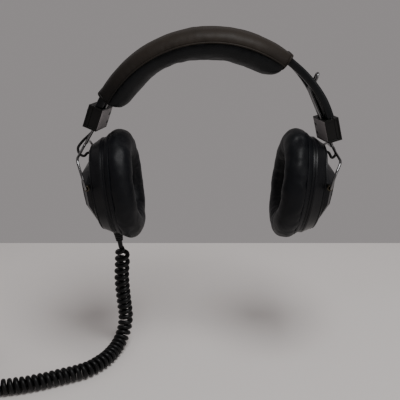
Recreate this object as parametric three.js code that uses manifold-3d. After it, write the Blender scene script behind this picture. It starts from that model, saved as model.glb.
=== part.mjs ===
// A wired headset with two ear cups on a sprung head band, as it sits on a head.
// Millimetres, +Z up, +X to the right as seen from the wearer's front, which is -Y.
// The origin is the point of the crown of the head that the pad rests on.
import * as THREE from "three";
import { mergeVertices } from "three/addons/utils/BufferGeometryUtils.js";
import { ConvexGeometry } from "three/addons/geometries/ConvexGeometry.js";
import Module from "manifold-3d";

const wasm = await Module();
wasm.setup();

// ---- driving dimensions ----
const GAP = 0.3; // between pieces that touch
const ARC_Z = -86; // centre of the head band's arc, below the crown
const BAND_MIDDLE = 87; // degrees from +X: the band sits rolled 3 degrees to the right
const COVER = { inner: 105, outer: 111.8, wide: 24, end: 20.5 };
const SPRING = { inner: 108.7, thick: 1.2, wide: 20, end: 13.5 };
const HOLLOW = { inner: 106, outer: 110.3, wide: 20.8 }; // inside the cover
const SLOT = { from: 22.5, to: 43.5, wide: 11.8 }; // the yoke wires' way through the band
const PAD = { inner: 86, outer: 113.6, wide: 46, right: 53, left: 150 };
const BLOCK = { angle: 14, radius: 107.3, thick: 12.8, deep: 28, tall: 20.6, turn: 12 };
const BLOCK_SPLIT = 2; // where the block's two halves meet, outwards from its middle
const SCREW = { apart: 17, head: 2.6, shank: 1.25, up: 4 };
const WIRE = 1.15; // radius of the yoke wire
const STEMS = { apart: 8, radius: 103, angle: 25 }; // two straight wires, a chord of the band
const CABLE = 1.2; // radius of the cable that joins the cups
const CUP_TILT = 6.8; // degrees, the top of each cup further out
const OVAL = 0.9; // a cup's depth front to back over its height
const GROMMET = 33; // height of the cable's way in above the cup's middle
const PIVOT = { out: 15.5, up: 11, wire: 40.8, tip: 35.4 };
const FLOOR = -285; // the table under the head's base
const CORD = 2.25; // radius of the cord's own wire
const CURL = 7.5; // outer radius of the curled cord
const COIL = { x: -256, y: -43.5, radius: 40, lift: 9.1 }; // the unused length of curl
const PLUG = { x: -62, y: -4, radius: 5.6, boot: 12, barrel: 27, shaft: 3.175 };

const SIDES = {
  right: {
    out: 1, cup: [85.8, -113.7], stemTop: 21, stemEnd: -40.5, hook: 14,
    knee: [111.3, -82.2],
    loop: [[111.8, -80.4], [113.2, -85.2], [110.2, -88]],
  },
  left: {
    out: -1, cup: [-91.4, -114.3], stemTop: 9, stemEnd: -50.5, hook: 0,
    knee: [-115.8, -80],
    loop: [[-117.2, -74.5], [-120.6, -80.4], [-119.2, -86], [-115, -87.4]],
  },
};

// ---- materials ----
const finish = (color, roughness, metalness = 0) =>
  new THREE.MeshStandardMaterial({ color, roughness, metalness });
const LOOK = {
  vinyl: finish(0x24262a, 0.55),
  leather: finish(0x332f2c, 0.6),
  moulded: finish(0x2b2c30, 0.5),
  blockFace: finish(0x3a3a3a, 0.6),
  chrome: finish(0xc9cbce, 0.2, 1),
  steel: finish(0x8c9096, 0.35, 1),
  rubber: finish(0x151516, 0.6),
  foam: finish(0x2a2a2a, 0.95),
  brass: finish(0xb8a060, 0.3, 1),
  fibre: finish(0x3b3128, 0.8),
  woven: finish(0x101010, 0.9),
};

const headset = new THREE.Group();

// ---- helpers ----
const rad = THREE.MathUtils.degToRad;
const vec = (x, y, z) => new THREE.Vector3(x, y, z);
const mirrored = (angle, out) => (out > 0 ? angle : 2 * BAND_MIDDLE - angle);

function onArc(radius, angle, y = 0) {
  return vec(radius * Math.cos(rad(angle)), y, ARC_Z + radius * Math.sin(rad(angle)));
}

// Shares corners between faces, drops faces with no area, and turns the faces outwards.
function closed(geometry) {
  const bare = geometry.clone();
  for (const name of Object.keys(bare.attributes)) {
    if (name !== "position") bare.deleteAttribute(name);
  }
  const merged = mergeVertices(bare, 1e-4);
  const index = [];
  const from = merged.index.array;
  for (let i = 0; i < from.length; i += 3) {
    const [a, b, c] = [from[i], from[i + 1], from[i + 2]];
    if (a !== b && b !== c && a !== c) index.push(a, b, c);
  }
  const spots = merged.attributes.position;
  const corner = (i) => new THREE.Vector3().fromBufferAttribute(spots, i);
  let volume = 0;
  for (let i = 0; i < index.length; i += 3) {
    volume += corner(index[i]).dot(corner(index[i + 1]).cross(corner(index[i + 2])));
  }
  merged.setIndex(volume < 0 ? index.reverse() : index);
  return merged;
}

function toSolid(geometry) {
  const shape = closed(geometry);
  return new wasm.Manifold(
    new wasm.Mesh({
      numProp: 3,
      vertProperties: new Float32Array(shape.attributes.position.array),
      triVerts: new Uint32Array(shape.index.array),
    }),
  );
}

function toGeometry(solid) {
  const mesh = solid.getMesh();
  const geometry = new THREE.BufferGeometry();
  geometry.setAttribute("position", new THREE.BufferAttribute(mesh.vertProperties, 3));
  geometry.setIndex(new THREE.BufferAttribute(mesh.triVerts, 1));
  return geometry;
}

function without(geometry, ...cutters) {
  let solid = toSolid(geometry);
  for (const cutter of cutters) solid = solid.subtract(toSolid(cutter));
  return toGeometry(solid);
}

function joined(first, ...others) {
  let solid = toSolid(first);
  for (const other of others) solid = solid.add(toSolid(other));
  return toGeometry(solid);
}

function place(name, geometry, look, parent = headset) {
  const mesh = new THREE.Mesh(closed(geometry), look);
  mesh.name = name;
  parent.add(mesh);
  return mesh;
}

function rectangle(x0, x1, y0, y1) {
  return new THREE.Shape([
    new THREE.Vector2(x0, y0),
    new THREE.Vector2(x1, y0),
    new THREE.Vector2(x1, y1),
    new THREE.Vector2(x0, y1),
  ]);
}

// A section in (radius, front to back) swept along the band's arc. shaped(x, y, t) may
// change the section on the way, with t from 0 at the first angle to 1 at the last.
function alongBand(section, from, to, steps, shaped = (x, y) => [x, y]) {
  const sweep = new THREE.ExtrudeGeometry(section, {
    depth: 1, steps, curveSegments: 4, bevelEnabled: false,
  });
  const spots = sweep.attributes.position;
  for (let i = 0; i < spots.count; i += 1) {
    const t = spots.getZ(i);
    const [radius, y] = shaped(spots.getX(i), spots.getY(i), t);
    const point = onArc(radius, from + (to - from) * t, y);
    spots.setXYZ(i, point.x, point.y, point.z);
  }
  return sweep;
}

// A turned piece: the profile's points are [radius, height], and its axis is +Y.
function turned(profile, segments = 24) {
  const points = profile.map(([radius, height]) => new THREE.Vector2(radius, height));
  return new THREE.LatheGeometry(points, segments);
}

function turnedRing(profile, segments = 24) {
  return turned([...profile, profile[0]], segments);
}

// A round wire of even thickness along a smooth curve through the points.
function wire(points, radius, sides, step) {
  const path = new THREE.CatmullRomCurve3(points, false, "centripetal");
  const round = [];
  for (let i = 0; i < sides; i += 1) {
    const turn = (2 * Math.PI * i) / sides;
    round.push(new THREE.Vector2(radius * Math.cos(turn), radius * Math.sin(turn)));
  }
  return new THREE.ExtrudeGeometry(new THREE.Shape(round), {
    steps: Math.ceil(path.getLength() / step),
    extrudePath: path,
    bevelEnabled: false,
  });
}

// Points along straight runs between the corners, with each corner rounded by bend.
function rounded(corners, bend) {
  const points = [corners[0]];
  for (let i = 1; i < corners.length - 1; i += 1) {
    const into = corners[i - 1].clone().sub(corners[i]);
    const away = corners[i + 1].clone().sub(corners[i]);
    const reach = Math.min(bend, into.length() / 2, away.length() / 2);
    const start = corners[i].clone().addScaledVector(into.normalize(), reach);
    const end = corners[i].clone().addScaledVector(away.normalize(), reach);
    const corner = new THREE.QuadraticBezierCurve3(start, corners[i], end);
    points.push(...corner.getPoints(4));
  }
  points.push(corners[corners.length - 1]);
  return points;
}

// A group whose +X is outwards from the band's arc and whose +Z runs along it, turned a
// little so that the block's inner face looks to the front.
function atBlock(side) {
  const angle = mirrored(BLOCK.angle, side.out);
  const outwards = onArc(1, angle).sub(vec(0, 0, ARC_Z));
  const across = vec(0, side.out, 0);
  const along = outwards.clone().cross(across);
  const group = new THREE.Group();
  const basis = new THREE.Matrix4().makeBasis(outwards, across, along);
  group.quaternion.setFromRotationMatrix(basis);
  group.position.copy(onArc(BLOCK.radius, angle));
  group.rotateZ(rad(BLOCK.turn * side.out));
  group.updateMatrix();
  return group;
}

// ---- the head band ----
function stemPoint(side, along, y = 0) {
  const angle = mirrored(STEMS.angle, side.out);
  const foot = onArc(STEMS.radius, angle, y);
  const tangent = rad(mirrored(STEMS.angle, side.out) + 90 * side.out);
  const up = vec(Math.cos(tangent), 0, Math.sin(tangent));
  return foot.addScaledVector(up, along);
}

function bandSlots() {
  return Object.values(SIDES).map((side) => {
    const middle = mirrored((SLOT.from + SLOT.to) / 2, side.out);
    const length = 2 * COVER.outer * Math.sin(rad((SLOT.to - SLOT.from) / 2));
    const box = new THREE.BoxGeometry(24, SLOT.wide, length);
    box.rotateY(-rad(middle));
    const centre = onArc((COVER.inner + COVER.outer) / 2, middle);
    return box.translate(centre.x, centre.y, centre.z);
  });
}

function screwHoles(side) {
  return [-1, 1].map((end) => {
    const hole = new THREE.CylinderGeometry(SCREW.shank + 0.35, SCREW.shank + 0.35, 16, 12);
    hole.rotateZ(Math.PI / 2).translate(3.6, (end * SCREW.apart) / 2, SCREW.up);
    return hole.applyMatrix4(atBlock(side).matrix);
  });
}

function makeBand() {
  const other = 2 * BAND_MIDDLE;
  const strip = rectangle(
    SPRING.inner, SPRING.inner + SPRING.thick, -SPRING.wide / 2, SPRING.wide / 2);
  const spring = alongBand(strip, SPRING.end, other - SPRING.end, 32);
  const holes = Object.values(SIDES).flatMap(screwHoles);
  place("band_spring", without(spring, ...bandSlots(), ...holes), LOOK.steel);

  const soft = 1.2;
  const half = COVER.wide / 2;
  const sleeve = new THREE.Shape([
    new THREE.Vector2(COVER.inner, soft - half),
    new THREE.Vector2(COVER.inner + soft, -half),
    new THREE.Vector2(COVER.outer - soft, -half),
    new THREE.Vector2(COVER.outer, soft - half),
    new THREE.Vector2(COVER.outer, half - soft),
    new THREE.Vector2(COVER.outer - soft, half),
    new THREE.Vector2(COVER.inner + soft, half),
    new THREE.Vector2(COVER.inner, half - soft),
  ]);
  sleeve.holes.push(
    rectangle(HOLLOW.inner, HOLLOW.outer, -HOLLOW.wide / 2, HOLLOW.wide / 2));
  const cover = alongBand(sleeve, COVER.end, other - COVER.end, 28);
  place("band_cover", without(cover, ...bandSlots()), LOOK.vinyl);

  const cableRadius = HOLLOW.inner + CABLE + 0.1;
  const ends = COVER.end + 1.5;
  const points = [];
  for (let i = 0; i <= 24; i += 1) {
    points.push(onArc(cableRadius, ends + ((other - 2 * ends) * i) / 24));
  }
  place("crossover_cable", wire(points, CABLE, 6, 7), LOOK.rubber);
}

// ---- the head pad: one sewn cushion round the band, with a channel for band and wires ----
function makePad() {
  const half = PAD.wide / 2;
  const outline = new THREE.Shape();
  outline.moveTo(PAD.outer, -half + 8);
  outline.lineTo(PAD.outer, half - 8);
  outline.bezierCurveTo(PAD.outer - 1, half - 1, 108, half, 103, half);
  outline.bezierCurveTo(96, half, PAD.inner, half - 4, PAD.inner, half - 13);
  outline.lineTo(PAD.inner, -half + 13);
  outline.bezierCurveTo(PAD.inner, -half + 4, 96, -half, 103, -half);
  outline.bezierCurveTo(108, -half, PAD.outer - 1, -half + 1, PAD.outer, -half + 8);
  const band = COVER.wide / 2 + 0.4;
  const stems = SLOT.wide / 2 + 0.3;
  const channel = new THREE.Path([
    new THREE.Vector2(101, -stems),
    new THREE.Vector2(COVER.inner - 0.4, -stems),
    new THREE.Vector2(COVER.inner - 0.4, -band),
    new THREE.Vector2(COVER.outer + GAP, -band),
    new THREE.Vector2(COVER.outer + GAP, band),
    new THREE.Vector2(COVER.inner - 0.4, band),
    new THREE.Vector2(COVER.inner - 0.4, stems),
    new THREE.Vector2(101, stems),
  ]);
  outline.holes.push(channel);
  // Thick in the middle, rounded off at both ends; the channel keeps its size.
  const tapered = (x, y, t) => {
    const toEnd = Math.min(t, 1 - t) * 97;
    const full = Math.sqrt(Math.min(1, 0.12 + toEnd / 9));
    const narrow = Math.sqrt(Math.min(1, 0.25 + toEnd / 16));
    const radius = x < 100.4 ? 100.4 - (100.4 - x) * full : x;
    const side = band + 1.2;
    const y2 = Math.abs(y) > side ? Math.sign(y) * (side + (Math.abs(y) - side) * narrow) : y;
    return [radius, y2];
  };
  const pad = alongBand(outline, PAD.right, PAD.left, 24, tapered);
  place("head_pad", pad, LOOK.leather);
}

// ---- the blocks that clamp the band's ends and guide the yoke wires ----
function stemSlot(side) {
  const box = new THREE.BoxGeometry(3.4, STEMS.apart + 3.6, 80);
  const tangent = mirrored(STEMS.angle, side.out);
  box.rotateY(-rad(tangent));
  const middle = stemPoint(side, -22);
  return box.translate(middle.x, 0, middle.z);
}

function springPocket(side) {
  const room = 0.35;
  const section = rectangle(
    SPRING.inner - room, SPRING.inner + SPRING.thick + room,
    -SPRING.wide / 2 - room, SPRING.wide / 2 + room);
  const a = mirrored(SPRING.end - 0.4, side.out);
  const b = mirrored(SPRING.end + 14, side.out);
  return alongBand(section, Math.min(a, b), Math.max(a, b), 6);
}

function blockHalf(from, to) {
  const bevel = 0.8;
  const shape = rectangle(from + bevel, to - bevel, -BLOCK.deep / 2 + bevel, BLOCK.deep / 2 - bevel);
  const body = new THREE.ExtrudeGeometry(shape, {
    depth: BLOCK.tall - 2 * bevel, bevelEnabled: true, bevelThickness: bevel,
    bevelSize: bevel, bevelSegments: 1, steps: 1,
  });
  return body.translate(0, 0, bevel - BLOCK.tall / 2);
}

function makeBlocks(name, side) {
  const frame = atBlock(side).matrix;
  const cutters = [stemSlot(side), springPocket(side), ...screwHoles(side)];
  const half = BLOCK.thick / 2;
  const inner = blockHalf(-half, BLOCK_SPLIT).applyMatrix4(frame);
  const outer = blockHalf(BLOCK_SPLIT + GAP, half).applyMatrix4(frame);
  place(`${name}_block_body`, without(inner, ...cutters), LOOK.moulded);
  place(`${name}_block_cover`, without(outer, ...cutters), LOOK.blockFace);
  for (const [end, word] of [[-1, "front"], [1, "rear"]]) {
    const screw = turned([
      [0, -4], [SCREW.shank, -4], [SCREW.shank, half + GAP], [SCREW.head, half + GAP],
      [SCREW.head, half + 1.1], [SCREW.head - 0.7, half + 1.6], [0, half + 1.6],
    ], 12);
    screw.rotateZ(-Math.PI / 2).translate(0, (end * SCREW.apart) / 2, SCREW.up);
    place(`${name}_block_screw_${word}`, screw.applyMatrix4(frame), LOOK.steel);
  }
}

// ---- the yoke: one bent wire from the front pivot, up through the block and back down ----
function cupFrame(side) {
  const group = new THREE.Group();
  const c = Math.cos(rad(CUP_TILT));
  const s = Math.sin(rad(CUP_TILT));
  const out = vec(side.out * c, 0, -s);
  const up = vec(side.out * s, 0, c);
  const across = vec(0, -side.out, 0);
  group.quaternion.setFromRotationMatrix(new THREE.Matrix4().makeBasis(across, out, up));
  group.position.set(side.cup[0], 0, side.cup[1]);
  group.updateMatrix();
  return group;
}

function inCup(side, out, up, y = 0) {
  return vec(-side.out * y, out, up).applyMatrix4(cupFrame(side).matrix);
}

function makeYoke(name, side) {
  const half = STEMS.apart / 2;
  const pivot = inCup(side, PIVOT.out, PIVOT.up);
  const down = (end) => [
    stemPoint(side, side.stemTop, end * half),
    stemPoint(side, side.stemEnd, end * half),
    vec(side.knee[0], end * 33, side.knee[1]),
    vec(pivot.x + side.out * 2.6, end * PIVOT.wire, pivot.z + 12),
    vec(pivot.x, end * PIVOT.wire, pivot.z),
    vec(pivot.x, end * PIVOT.tip, pivot.z),
  ];
  const lean = side.out > 0 ? 55 : 125;
  const tip = (end) => stemPoint(side, side.stemTop, end * half)
    .add(vec(Math.cos(rad(lean)), 0, Math.sin(rad(lean))).multiplyScalar(side.hook));
  const top = side.hook > 0 ? [tip(-1), tip(1)] : [];
  const corners = [...down(-1).reverse(), ...top, ...down(1)];
  place(`${name}_yoke_wire`, wire(rounded(corners, 5), WIRE, 8, 3.4), LOOK.chrome);
}

function makeCableLoop(name, side) {
  const straight = [-8, -20, -30, -36].map((along) => stemPoint(side, along));
  const bent = side.loop.map(([x, z]) => vec(x, 0, z));
  bent.push(inCup(side, 17, GROMMET), inCup(side, 13.3, GROMMET));
  place(`${name}_cable_loop`, wire([...straight, ...bent], CABLE, 8, 2.4), LOOK.rubber);
}

// ---- the ear cup: out is +Y, up is +Z in its own frame, from the cushion's back outwards ----
function dome(base, flat, low, high) {
  const outline = (size, depth, points) =>
    points.flatMap(([x, z]) => [vec(x * size, depth, z * size), vec(-x * size, depth, z * size)]);
  const rim = [[12, -38.5], [26, -28], [33.5, -8], [33.5, 14], [26, 24.5], [12, 28]];
  const shoulder = [[33.5, -6], [33.5, 13]];
  const face = [[11, -18.8], [20, -11], [22.5, 0], [22.5, 13], [18, 19.8]];
  return new ConvexGeometry([
    ...outline(base, low, rim),
    ...outline(base, low + (high - low) * 0.55, shoulder),
    ...outline(flat, high, face),
  ]);
}

function makeCup(name, side) {
  const cup = cupFrame(side);
  headset.add(cup);
  const add = (piece, geometry, look) => place(`${name}_${piece}`, geometry, look, cup);
  const oval = (geometry) => geometry.scale(OVAL, 1, 1);

  add("ear_cushion", oval(turnedRing([
    [25.5, -7], [25, -14], [27, -20.5], [32, -24.4], [39, -25], [45.5, -23.2], [50, -18.5],
    [51.5, -12.5], [49.8, -7], [45.5, -3.5], [29, -3.5],
  ], 32)), LOOK.vinyl);
  add("cushion_ring", oval(turnedRing([[27, -3.2], [43.5, -3.2], [43.5, -1.7], [27, -1.7]], 32)),
    LOOK.moulded);
  add("damping_foam", oval(turned([[0, -4.6], [24, -4.6], [24, -1.7], [0, -1.7]], 24)), LOOK.foam);
  add("baffle_plate", oval(turnedRing([[20.5, -1.2], [41.3, -1.2], [41.3, 0.8], [20.5, 0.8]], 32)),
    LOOK.moulded);
  add("driver_basket", turnedRing([
    [16, -0.9], [18, -0.9], [18, 1.1], [21.5, 1.1], [21.5, 2.3], [17, 2.6], [13, 8], [9, 8],
    [9, 6.8], [12, 6.8], [16, 1.4],
  ], 20), LOOK.steel);
  add("driver_magnet", turned([[0, 5.6], [8.4, 5.6], [8.4, 10.5], [0, 10.5]], 20), LOOK.steel);
  add("driver_cone", turned([
    [0, 3.4], [6, 3.2], [15, -0.2], [15, 0.4], [6, 4.2], [0, 4.5],
  ], 20), LOOK.fibre);
  add("cup_housing", oval(turnedRing([
    [45, -1.3], [45, 2.4], [43.6, 6], [40.2, 10.9], [38.2, 10.9], [41.9, 3.2], [41.9, -1.3],
  ], 32)), LOOK.moulded);

  const flange = oval(turned([[0, 11.2], [40, 11.2], [40, 12.2], [39, 12.8], [0, 12.8]], 32));
  const shell = without(joined(flange, dome(1, 1, 11.4, 21.5)), dome(0.93, 0.9, 9.4, 19.7));
  add("cup_shell", shell, LOOK.moulded);

  const panel = new THREE.Shape();
  [[10, -17.2], [18.4, -10], [20.6, 0], [20.6, 12], [16.6, 18.2], [-16.6, 18.2], [-20.6, 12],
    [-20.6, 0], [-18.4, -10], [-10, -17.2]].forEach(([x, z], i) =>
    i ? panel.lineTo(x, z) : panel.moveTo(x, z));
  const plate = new THREE.ExtrudeGeometry(panel, { depth: 1, bevelEnabled: false });
  add("cup_plate", plate.rotateX(Math.PI / 2).scale(1, 1, -1).translate(0, 22.8, 0),
    LOOK.moulded);

  for (const [end, word] of [[-1, "front"], [1, "rear"]]) {
    const bush = turnedRing([[1.5, 0], [2.4, 0], [2.4, 4], [1.5, 4]], 12);
    bush.rotateZ(-Math.PI / 2).translate(33.8, 0, 0);
    if (end * side.out > 0) bush.rotateY(Math.PI);
    add(`pivot_bush_${word}`, bush.translate(0, PIVOT.out, PIVOT.up), LOOK.brass);
  }
  add("cable_grommet", turnedRing([[1.6, 13.1], [2.9, 13.1], [2.5, 15.2], [1.6, 15.2]], 12)
    .translate(0, 0, GROMMET), LOOK.rubber);
  if (side.out < 0) makeRelief(add);
}

// ---- the cord: relief and lead on the left cup, then the curl, its coil and the plug ----
function makeRelief(add) {
  const relief = turnedRing([[2.5, 0], [4.6, 0], [4.6, 2], [3.3, 10.5], [2.5, 10.5]], 12);
  add("cord_relief", relief.rotateX(-Math.PI / 2).translate(0, 2, -45.4), LOOK.rubber);
  const lead = turned([[0, 0], [CORD - 0.1, 0], [CORD - 0.1, 11.6], [0, 11.6]], 8);
  add("cord_lead", lead.rotateX(-Math.PI / 2).translate(0, 2, -45.6), LOOK.rubber);
}

function makeCord() {
  const low = FLOOR + CURL;
  const start = inCup(SIDES.left, 2, -57.8);
  const hanging = [
    [start.x, 0, start.z], [-85.2, 2, -188.5], [-86.8, 3, -210], [-85.8, 4, -236],
    [-84.6, 3, -253], [-86, -1, -265.5], [-89.5, -9.5, -274.2], [-94, -21, low],
    [-101, -37, low], [-115, -53.5, low], [-138, -65, low], [-163, -75, low],
    [-189, -81, low], [COIL.x + 39, COIL.y - COIL.radius, low + 1],
  ];
  const points = hanging.map(([x, y, z]) => vec(x, y, z));
  place("cord_curl", wire(points, CURL, 10, 12), LOOK.rubber);

  const round = [];
  for (let i = 0; i < 10; i += 1) {
    const turn = (2 * Math.PI * i) / 10;
    round.push([COIL.radius + CURL * Math.cos(turn), CURL * Math.sin(turn)]);
  }
  const middle = vec(COIL.x, COIL.y, FLOOR + COIL.lift);
  const ring = turnedRing(round, 30).rotateX(Math.PI / 2);
  place("cord_coil", ring.translate(middle.x, middle.y, middle.z), LOOK.rubber);
  const [inside, outside, half] = [CURL + 0.75, CURL + 1.5, 4.5];
  const tie = turnedRing([[inside, -half], [outside, -half], [outside, half], [inside, half]], 16);
  place("coil_tie", tie.translate(middle.x - COIL.radius, middle.y, middle.z), LOOK.woven);

  const over = FLOOR + COIL.lift + CURL + CORD + 0.4;
  const flat = FLOOR + CORD + 0.05;
  const axis = FLOOR + PLUG.radius + 0.1;
  const tail = [
    [24.6, -31.5, over], [17, -40, over + 0.4], [8, -48.5, over - 0.6], [-2, -56.5, over - 7],
    [-14, -61.5, flat + 4], [-28, -61.5, flat], [-43, -53, flat], [-54, -38, flat],
    [-60.5, -22, flat + 1.4], [PLUG.x, PLUG.y - 8, axis], [PLUG.x, PLUG.y, axis],
  ].map(([x, y, z]) => vec(COIL.x + x, COIL.y + y, z));
  place("cord_tail", wire(tail, CORD, 8, 7), LOOK.rubber);
  makePlug(vec(COIL.x + PLUG.x, COIL.y + PLUG.y, axis));
}

function makePlug(start) {
  const seat = PLUG.boot + PLUG.barrel;
  const r = PLUG.radius;
  const s = PLUG.shaft;
  const pieces = [
    ["plug_boot", [[0, GAP], [3, GAP], [4.4, PLUG.boot], [0, PLUG.boot]], LOOK.rubber],
    ["plug_barrel", [
      [0, PLUG.boot + GAP], [r - 0.6, PLUG.boot + GAP], [r, PLUG.boot + 1.2],
      [r, seat - 1], [r - 0.8, seat], [0, seat],
    ], LOOK.rubber],
    ["plug_sleeve", [[0, seat + GAP], [s, seat + GAP], [s, seat + 16.6], [0, seat + 16.6]],
      LOOK.brass],
    ["plug_insulator", [[0, seat + 16.9], [s - 0.1, seat + 16.9], [s - 0.1, seat + 18], [0, seat + 18]],
      LOOK.rubber],
    ["plug_ring", [[0, seat + 18.3], [s, seat + 18.3], [s, seat + 22.6], [0, seat + 22.6]],
      LOOK.brass],
    ["plug_tip", [
      [0, seat + 22.9], [s - 0.1, seat + 22.9], [s - 0.1, seat + 23.8], [2.2, seat + 26],
      [s, seat + 27.6], [2.4, seat + 30], [0.9, seat + 31.4], [0, seat + 31.6],
    ], LOOK.brass],
  ];
  for (const [name, profile, look] of pieces) {
    place(name, turned(profile, 16).translate(start.x, start.y, start.z), look);
  }
}

makeBand();
makePad();
for (const [name, side] of Object.entries(SIDES)) {
  makeBlocks(name, side);
  makeYoke(name, side);
  makeCableLoop(name, side);
  makeCup(name, side);
}
makeCord();

export default headset;
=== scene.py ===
# %% [markdown]
# # A wired headset on its sprung head band
# This lesson gives a headset its looks round a fixed CAD frame: soft pads, moulded cups,
# bent wire yokes and a curled cord. Sizes are written in millimetres, as on a drawing, in
# the frame's own axes, and become metres when a mesh is made.

# %% The frame
import math

import bmesh
import bpy
import numpy as np
from mathutils import Matrix, Vector, noise


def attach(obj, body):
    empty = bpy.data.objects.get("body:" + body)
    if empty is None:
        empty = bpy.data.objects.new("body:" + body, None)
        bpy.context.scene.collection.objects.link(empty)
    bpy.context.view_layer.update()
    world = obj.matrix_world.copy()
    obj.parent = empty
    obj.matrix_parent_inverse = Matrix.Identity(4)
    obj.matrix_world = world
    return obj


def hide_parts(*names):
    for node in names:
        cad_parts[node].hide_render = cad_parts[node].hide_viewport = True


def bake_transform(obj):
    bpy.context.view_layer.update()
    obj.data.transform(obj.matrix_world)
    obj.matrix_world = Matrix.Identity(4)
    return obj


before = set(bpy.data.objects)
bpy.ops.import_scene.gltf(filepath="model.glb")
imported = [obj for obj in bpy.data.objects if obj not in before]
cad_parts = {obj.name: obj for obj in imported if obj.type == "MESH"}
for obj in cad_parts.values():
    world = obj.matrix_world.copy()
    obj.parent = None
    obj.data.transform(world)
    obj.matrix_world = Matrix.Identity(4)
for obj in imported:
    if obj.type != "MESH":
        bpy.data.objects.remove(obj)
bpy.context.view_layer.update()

MM = 0.001


def in_scene(name, data):
    """A new object that holds the data, linked into the scene."""
    thing = bpy.data.objects.new(name, data)
    bpy.context.scene.collection.objects.link(thing)
    return thing


# %% [markdown]
# ## The camera
# The headset is seen from the wearer's front and a little above. A camera could be aimed
# with a constraint, but two plain numbers, a place and a pitch, are easier to check.

# %% Camera
PITCH = 70.0
lens = bpy.data.cameras.new("viewer")
lens.lens, lens.sensor_width = 56.9, 36.0
camera = in_scene("viewer", lens)
camera.location = (-0.010, -0.5544, 0.0728)
camera.rotation_euler = (math.radians(PITCH), 0, 0)
bpy.context.scene.camera = camera
print("camera at", tuple(round(c, 3) for c in camera.location))

# %% [markdown]
# ## The table and the light
# A pale table top and a pale room keep the black headset readable. One broad soft lamp
# above the front does most of the work, a weaker one fills the right, and the room's own
# even light keeps the shadows open.

# %% Table, lamps and room
FLOOR = -285.0
TABLE_SIDE, TABLE_FRONT, TABLE_BACK = 2.2, -1.6, 0.253
table_mesh = bpy.data.meshes.new("table_top")
table_mesh.from_pydata(
    [(x, y, FLOOR * MM) for x, y in (
        (-TABLE_SIDE, TABLE_FRONT), (TABLE_SIDE, TABLE_FRONT),
        (TABLE_SIDE, TABLE_BACK), (-TABLE_SIDE, TABLE_BACK))],
    [], [(0, 1, 2, 3)])
table_top = in_scene("table_top", table_mesh)


def soft_lamp(name, place, target, size, power):
    lamp = bpy.data.lights.new(name, "AREA")
    lamp.shape, lamp.size, lamp.energy = "DISK", size, power
    holder = in_scene(name, lamp)
    holder.location = place
    aim = Vector(target) - Vector(place)
    holder.rotation_euler = aim.to_track_quat("-Z", "Y").to_euler()


soft_lamp("ceiling_lamp", (0.24, -0.42, 1.1), (0, 0, -0.1), 0.7, 13.0)
soft_lamp("window_fill", (1.1, -0.9, 0.35), (0, 0, -0.1), 0.5, 2.0)
room = bpy.data.worlds.new("room")
room.use_nodes = True
room.node_tree.nodes["Background"].inputs["Color"].default_value = (0.285, 0.268, 0.268, 1)
room.node_tree.nodes["Background"].inputs["Strength"].default_value = 1.0
bpy.context.scene.world = room
print("table top at", FLOOR, "mm")

# %% [markdown]
# ## Shader arithmetic
# A finish is arithmetic on patterns. Wrapping a socket in a small class lets a recipe be
# written as an expression, and each operator adds the Math node that it stands for.

# %% A socket that can be added and multiplied
class Signal:
    """A number that changes over a surface."""

    def __init__(self, paint, socket):
        self.paint, self.socket = paint, socket

    def maths(self, operation, first, second):
        return self.paint.node(
            "ShaderNodeMath", {"operation": operation}, {0: first, 1: second})

    def __add__(self, other):
        return self.maths("ADD", self, other)

    def __sub__(self, other):
        return self.maths("SUBTRACT", self, other)

    def __rsub__(self, other):
        return self.maths("SUBTRACT", other, self)

    def __mul__(self, other):
        return self.maths("MULTIPLY", self, other)

    def __pow__(self, other):
        return self.maths("POWER", self, other)

    __radd__, __rmul__ = __add__, __mul__


# %% A paint, with one method for every other node
class Paint:
    def __init__(self, name):
        self.material = bpy.data.materials.new(name)
        self.material.use_nodes = True
        self.tree = self.material.node_tree
        self.shader = self.tree.nodes["Principled BSDF"]
        self.place = self.node("ShaderNodeTexCoord", out="Object")

    def feed(self, node, socket, value):
        if isinstance(value, Signal):
            self.tree.links.new(value.socket, node.inputs[socket])
        else:
            node.inputs[socket].default_value = value

    def node(self, kind, settings=None, values=None, out=0):
        node = self.tree.nodes.new(kind)
        for key, setting in (settings or {}).items():
            setattr(node, key, setting)
        for socket, value in (values or {}).items():
            self.feed(node, socket, value)
        return Signal(self, node.outputs[out])

    def finish(self, values):
        for socket, value in values.items():
            self.feed(self.shader, socket, value)
        return self.material

    def cloudy(self, size, detail=3.0, rough=0.55):
        """Soft noise whose blotches are about size mm across."""
        return self.node("ShaderNodeTexNoise", None, {
            "Vector": self.place, "Scale": 1 / (size * MM), "Detail": detail,
            "Roughness": rough})

    def cells(self, size, feature="F1"):
        """Small cells about size mm across, as pressed into leathercloth."""
        return self.node("ShaderNodeTexVoronoi", {"feature": feature}, {
            "Vector": self.place, "Scale": 1 / (size * MM)}, out="Distance")

    def blend(self, share, first, second):
        """A colour between two, by a share from 0 to 1."""
        return self.node(
            "ShaderNodeMix", {"data_type": "RGBA"},
            {0: share, 6: (*first, 1), 7: (*second, 1)}, out=2)

    def relief(self, height, depth, strength=1.0, under=None):
        """A bump of that depth in mm, on top of another one if there is one."""
        values = {"Height": height, "Distance": depth * MM, "Strength": strength}
        if under is not None:
            values["Normal"] = under
        return self.node("ShaderNodeBump", None, values)


print("paints are ready to mix")

# %% [markdown]
# ## Finishes
# Leathercloth is a pressed grain over slow creases, and its raised places wear lighter.
# Moulded plastic has a fine spark texture that breaks up its gloss. Wire and plug metal
# are polished, with faint streaks. All of them read the object's own coordinates, so the
# grain stays on a piece when a joint moves it.

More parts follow.
